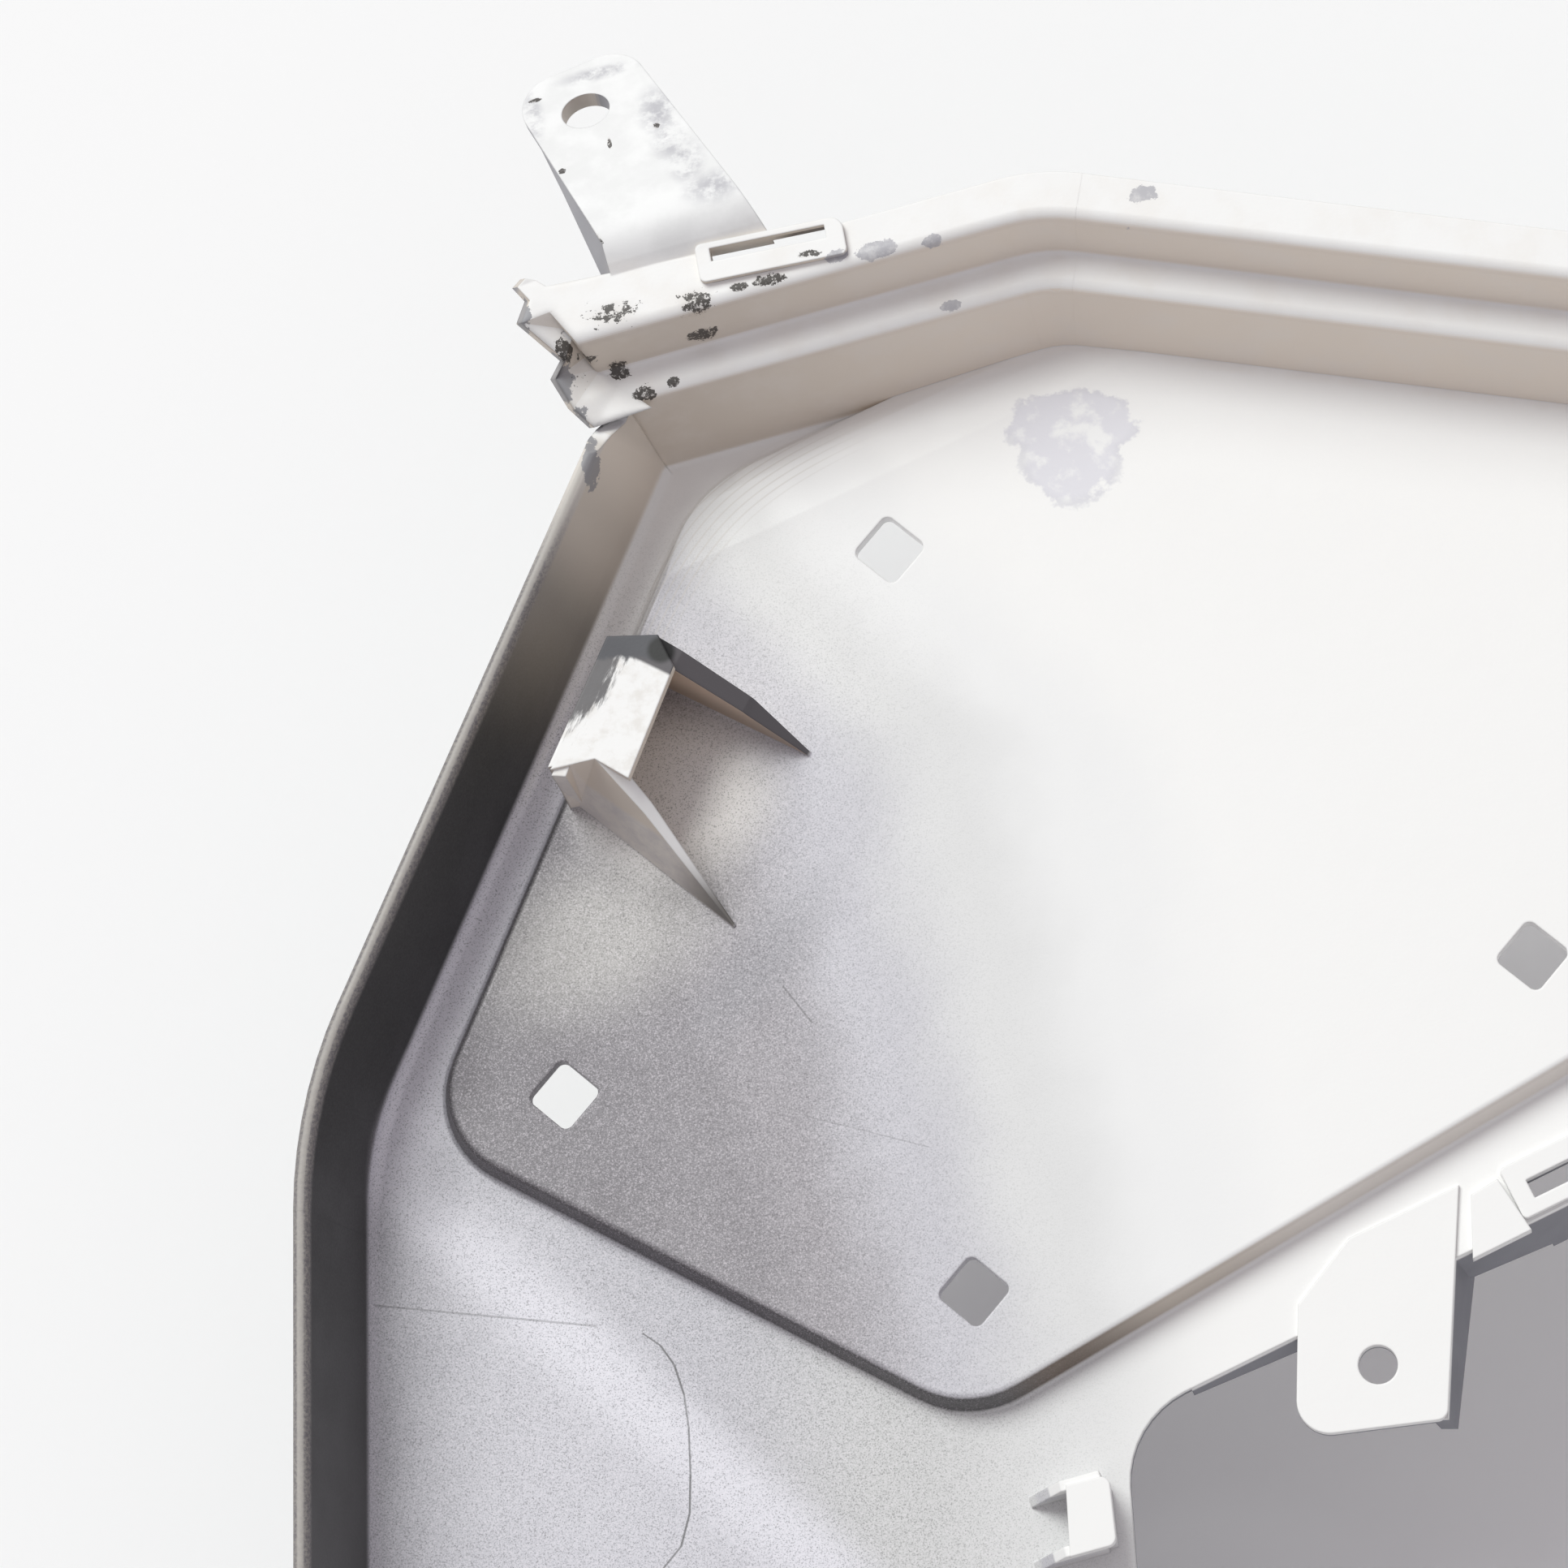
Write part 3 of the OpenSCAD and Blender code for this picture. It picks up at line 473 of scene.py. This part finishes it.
def hook_colour(net, colour):
    """Large hook: white plastic, dark paint on its upper end and its upper gusset, and painted shade in
    warm beige and brown on its steep faces and on the faces of its gussets.
    """
    up = net.facing(UP)
    hook = net.product(
        net.step(net.height(), 2.55, 3.0),
        net.block((-48.0, 28.0, 12.4), (21.0, 25.0, 10.4)),
        net.step(net.beside(WALL_ELBOW, RIM_LEFT), 1.6, 2.6),
    )
    top = net.product(hook, net.step(net.height(), 19.6, 20.6), net.step(up, 0.5, 0.8))
    faces = net.product(hook, net.without(top), net.step(up, 0.5, 0.3))
    # Painted shade: the steep faces of the hook in a darker warm beige
    colour = net.mix(faces, colour, grey(222, WARM))
    worn = net.product(top, net.step(net.noise(3.0, 4, 0.6), 0.45, 0.7), 0.5)
    colour = net.mix(worn, colour, grey(214, BEIGE))
    # Upper gusset
    upper = net.block((-37.0, 41.5, 12.0), (17.0, 3.6, 12.0), -27, 0.6)
    dark = grey(92, MAUVE)
    colour = net.mix(net.product(hook, upper, net.step(up, 0.12, 0.3)), colour, dark)
    inner = net.product(faces, upper, net.step(net.facing(UPPER_GUSSET_WAY), 0.6, 0.85))
    inner_shade = net.mix(net.step(net.height(), 15.0, 5.0), grey(196, BROWN), grey(160, BROWN))
    colour = net.mix(inner, colour, inner_shade)
    # Lower gusset
    toward_tip = net.along(GUSSET_ROOT, GUSSET_TIP)
    shade = net.ramp(toward_tip, [
        (0.0, grey(234, BEIGE)),
        (18.0, grey(222, BEIGE)),
        (31.0, grey(132, BROWN)),
    ])
    stains = net.mix(net.step(net.noise(5, 4, 0.7), 0.35, 0.65), grey(190, MAUVE), grey(236, BEIGE))
    shade = net.mix(0.35, shade, stains)
    lower = net.product(
        net.block((-51.5, 16.6, 10.0), (19.0, 3.6, 12.0), -36, 0.6),
        net.step(net.facing(LOWER_GUSSET_WAY), 0.5, 0.8),
    )
    colour = net.mix(net.product(faces, lower), colour, shade)
    tip = net.product(
        hook,
        net.step(toward_tip, 18.0, 30.0),
        net.step(net.beside((-66.0, 29.0), (-38.0, 8.0)), -4.0, 0.0),
    )
    colour = net.mix(tip, colour, grey(120, BEIGE))
    # Paint on the top
    end = net.math("ADD", net.towards((0.03, 1.0, 0)), net.waver(1.4, 2.0, 4, 0.7))
    end = net.step(end, 43.4, 44.4)
    stretched = net.vector("MULTIPLY", net.turned(net.place, 23.0), (1.0, 0.16, 1.0))
    streaks = net.noise(1.0, 4, 0.7, stretched)
    left = net.beside(HOOK_LOW, HOOK_HIGH)
    smear = net.product(net.step(left, 6.0, 0.6), net.step(net.towards(ALONG_Y), 29.0, 41.0))
    streaks = net.product(net.math("SUBTRACT", streaks, 0.5), 1.8)
    smear = net.step(net.math("ADD", smear, streaks), 0.3, 0.7)
    colour = net.mix(net.product(top, smear, 0.92), colour, grey(78, MAUVE))
    colour = net.mix(net.product(top, end), colour, grey(84, BLUE))
    black = net.patch((-48.9, 46.8, 20.6), (2.6, 2.6, 3.0), 0, 0.4)
    return net.mix(net.product(hook, black), colour, grey(36, NEUTRAL))


class Zones:
    """Where a point lies: distances to the borders of the floor and how steep the surface is."""

    def __init__(self, net):
        self.height = net.height()
        self.up = net.facing(UP)
        self.left = net.least(
            net.smooth_least(net.beside(WALL_ELBOW, RIM_LEFT), net.beside(WALL_FOOT, WALL_ELBOW), 6.7),
            net.math("SUBTRACT", net.towards(ALONG_Y), WALL_FOOT[1]),
        )
        self.rim = net.least(net.beside(RIM_LEFT, RIM_BEND), net.beside(RIM_BEND, RIM_RIGHT))
        self.lower_right = net.beside(RETURN_RIGHT, OPENING)
        self.opening = net.beside(OPENING, OPENING_FOOT)
        self.towards_rim = net.along(WALL_ELBOW, RIM_LEFT)
        self.on_rim = net.step(self.rim, 0.9, -0.3)
        self.bare = net.most(self.on_rim, net.step(self.height, 2.55, 3.0))
        steep = net.step(self.up, 0.93, 0.7)
        inside = net.step(self.left, 0.3, -0.4)
        self.left_wall = net.product(inside, steep, net.step(self.rim, -1.5, 0.5))


def silver_share(net, zones):
    """How much silver paint lies on the floor and the plate."""
    share = net.step(net.towards(FADE_WAY), 16.0, -40.0)
    share = net.product(share, net.without(zones.bare))
    return net.product(share, net.step(net.towards(ALONG_Y), 84.0, 40.0))


def floor_and_plate(net, zones, silver):
    """The floor, the plate and the plate's side with its painted shade, with flakes in the silver."""
    colour = net.mix(net.step(zones.height, 0.6, -1.0), plate_colour(net), floor_colour(net))
    # Painted shade on the side of the plate, which faces away from the light
    side = net.product(
        net.step(zones.height, -1.9, -1.3),
        net.step(zones.height, 2.45, 2.1),
        net.step(zones.up, 0.985, 0.9),
    )
    off_plate = net.least(
        net.beside(PLATE_BOTTOM, PLATE_LEFT),
        net.beside(PLATE_LEFT, PLATE_TOP),
        net.beside(PLATE_RIGHT, PLATE_BOTTOM),
    )
    side = net.product(side, net.step(off_plate, -3.4, -2.6), net.step(off_plate, 5.0, 3.0))
    colour = net.mix(side, colour, plate_side_silver_and_shade(net))
    colour = net.mix(zones.bare, colour, WHITE)
    return paint_speckle(net, colour, silver)


def rim_colour(net, zones, colour):
    """Painted shade: steep rim walls in a darker warm beige, darker still at the left end, with random
    yellowing on the rim.
    """
    # Painted shade on the steep faces of the rim
    wall = net.product(zones.on_rim, net.step(zones.up, 0.86, 0.5))
    left_end = net.step(net.along(RIM_LEFT, RIM_BEND), 60.0, -6.0)
    colour = net.mix(wall, colour, net.mix(left_end, grey(226, WARM), grey(204, WARM)))
    yellowing = net.product(net.step(net.noise(9, 4, 0.6), 0.4, 0.7), zones.on_rim, 0.3)
    return net.mix(yellowing, colour, grey(228, BEIGE))


def left_wall_colour(net, zones, colour):
    """Dark silver on the inner side, painted darker still as painted shade and dark reflection; bare at
    the top corner in a warm beige painted shade; a worn lip with a painted highlight along its top.
    """
    # Painted shade and reflection: the silver paint of the inner side in dark greys
    dark = net.mix(net.noise(0.4, 2, 0.7), grey(46, NEUTRAL), grey(88, NEUTRAL))
    low = net.step(zones.towards_rim, 0.0, -60.0)
    dark = net.mix(net.product(low, 0.55), dark, grey(104, NEUTRAL))
    fade = net.ramp(zones.towards_rim, [
        (60.0, (0, 0, 0, 1)),
        (84.0, (0.3, 0.3, 0.3, 1)),
        (100.0, (0.75, 0.75, 0.75, 1)),
        (112.0, (1, 1, 1, 1)),
    ])
    # Towards the top corner the bare plastic is a warm beige, painted shade as on the rim walls
    dark = net.mix(fade, dark, grey(214, WARM))
    colour = net.mix(zones.left_wall, colour, dark)
    lip = net.product(
        net.step(zones.left, -2.0, -3.4),
        net.step(zones.height, 19.6, 20.8),
        net.step(zones.rim, -2.0, 1.0),
    )
    worn = net.mix(net.step(net.noise(0.5, 4, 0.7), 0.34, 0.66), grey(112, MAUVE), grey(150, BEIGE))
    worn = net.mix(net.step(zones.towards_rim, 84.0, 108.0), worn, grey(206, BEIGE))
    # Painted highlight: the upward-facing top of the lip is lighter
    worn = net.mix(net.product(net.step(zones.up, 0.86, 0.97), 0.7), worn, grey(176, BEIGE))
    return net.mix(lip, colour, worn)


def outer_side(net, zones):
    """1 on the painted outer side of the panel."""
    down = net.step(zones.up, -0.08, -0.16)
    below = net.step(zones.height, -2.7, -3.3)
    past_wall = net.most(net.step(zones.left, -0.4, -1.0), net.step(zones.rim, -0.4, -1.0))
    past_floor = net.most(net.step(zones.lower_right, 0.4, -0.2), net.step(zones.opening, 0.4, -0.2))
    return net.most(
        net.product(down, past_wall),
        net.product(below, net.most(past_floor, down)),
    )


def tab_colour(net, zones, colour):
    """Blue-grey rib, slot walls in dark brown as painted shade, and plain face of the upper tab."""
    rib = net.product(
        net.step(net.facing((-0.966, -0.257, 0)), 0.35, 0.7),
        net.block((-68.0, 125.0, 15.0), (14.0, 22.0, 14.0), 0, 1.0),
    )
    colour = net.mix(net.product(rib, 0.9), colour, grey(150, BLUE))
    # Painted shade: the walls inside the slot in dark brown
    slot = net.product(
        net.block((-30.0, 108.0, 22.0), (12.0, 2.6, 5.6), 14, 0.3),
        net.step(zones.up, 0.8, 0.5),
    )
    colour = net.mix(slot, colour, grey(104, BROWN))
    top = net.product(
        net.block((-58.0, 127.0, 20.0), (26.0, 20.0, 14.0), 0, 2.0),
        net.step(zones.up, 0.6, 0.8),
        net.step(zones.rim, -21.0, -24.0),
    )
    face = net.mix(net.step(net.noise(7, 4, 0.6), 0.36, 0.66), grey(228, NEUTRAL), grey(236, NEUTRAL))
    return net.mix(top, colour, face)


def surface_normal(net):
    """Fine relief on edges that are rounded a little, and more at the torn corner."""
    edge_radius = 0.45 * MM
    torn_radius = 1.7 * MM
    bevel = net.node("ShaderNodeBevel", samples=6)
    torn = net.patch((-61.0, 93.0, 23.0), (15, 15, 11), 0, 0.4)
    net.feed(bevel.inputs["Radius"], net.math("ADD", net.product(torn, torn_radius), edge_radius))
    bump = net.node("ShaderNodeBump")
    bump.inputs["Strength"].default_value = 0.3
    bump.inputs["Distance"].default_value = 0.05 * MM
    relief = net.math("ADD", net.noise(0.5, 3, 0.6), net.product(net.noise(6, 2), 2.0))
    net.feed(bump.inputs["Height"], relief)
    net.feed(bump.inputs["Normal"], bevel.outputs["Normal"])
    return bump.outputs["Normal"]


def panel_material():
    net = Net("abs_panel")
    zones = Zones(net)
    silver = silver_share(net, zones)
    outside = outer_side(net, zones)
    colour = floor_and_plate(net, zones, silver)
    colour = rim_colour(net, zones, colour)
    colour = left_wall_colour(net, zones, colour)
    colour = net.mix(outside, colour, net.mix(net.noise(6, 3), grey(124, BLUE), grey(142, BLUE)))
    colour = tab_colour(net, zones, colour)
    colour = hook_colour(net, colour)
    colour = blotch(net, colour)
    colour = fine_lines(net, colour)
    colour = dirt(net, colour)
    dark_wall = net.product(zones.left_wall, net.step(zones.towards_rim, 96.0, 60.0))
    metal = net.product(net.most(silver, dark_wall, outside), 0.3)

    shader = net.node("ShaderNodeBsdfPrincipled")
    net.feed(shader.inputs["Base Color"], colour)
    net.feed(shader.inputs["Metallic"], metal)
    net.feed(shader.inputs["Normal"], surface_normal(net))
    net.feed(shader.inputs["Roughness"], net.step(net.noise(14, 2), 0.3, 0.7, 0.42, 0.56))
    output = net.node("ShaderNodeOutputMaterial")
    net.feed(output.inputs["Surface"], shader.outputs["BSDF"])
    return net.material


def dress(node, material):
    """The CAD node keeps its mesh and gets the material."""
    node.data.materials.clear()
    node.data.materials.append(material)


def make_floor():
    """Plain pale table under the panel."""
    reach = 1.5
    low = cad_box[0][2] - TABLE_DROP
    mesh = bpy.data.meshes.new("floor")
    corners = [(-reach, -reach, low), (reach, -reach, low), (reach, reach, low), (-reach, reach, low)]
    mesh.from_pydata(corners, [], [(0, 1, 2, 3)])
    floor = bpy.data.objects.new("floor", mesh)
    bpy.context.scene.collection.objects.link(floor)
    material = bpy.data.materials.new("floor")
    material.use_nodes = True
    shader = material.node_tree.nodes["Principled BSDF"]
    shader.inputs["Base Color"].default_value = TABLE_ALBEDO
    shader.inputs["Roughness"].default_value = 0.9
    shader.inputs["Specular IOR Level"].default_value = 0.0
    mesh.materials.append(material)


def make_light():
    """Soft sky all round and one broad lamp from the upper left."""
    world = bpy.data.worlds.new("sky")
    bpy.context.scene.world = world
    world.use_nodes = True
    sky = world.node_tree.nodes["Background"]
    sky.inputs["Color"].default_value = SKY_COLOUR
    sky.inputs["Strength"].default_value = SKY_STRENGTH
    lamp = bpy.data.lights.new("lamp", "SUN")
    lamp.energy = LAMP_STRENGTH
    lamp.angle = math.radians(LAMP_SPREAD)
    lamp.color = LAMP_COLOUR
    made = bpy.data.objects.new("lamp", lamp)
    bpy.context.scene.collection.objects.link(made)
    made.rotation_euler = Vector(LAMP_WAY).to_track_quat("Z", "Y").to_euler()


def make_camera():
    """The photograph's view: from above, a little from the front and the right."""
    right = Vector((0.99216, 0.01557, -0.12404))
    up = Vector((0.01557, 0.96911, 0.24615))
    back = Vector((0.12404, -0.24615, 0.96126))
    target = Vector((-0.032, 0.030, 0.003))
    distance = 1.00625
    camera = bpy.data.cameras.new("camera")
    camera.lens = 150
    camera.sensor_width = 36
    camera.clip_start = 0.05
    made = bpy.data.objects.new("camera", camera)
    bpy.context.scene.collection.objects.link(made)
    turn = Matrix((right, up, back)).transposed().to_4x4()
    made.matrix_world = Matrix.Translation(target + distance * back) @ turn
    bpy.context.scene.camera = made


bpy.context.scene.view_settings.view_transform = "Standard"
dress(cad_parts["side_panel"], panel_material())
make_floor()
make_light()
make_camera()
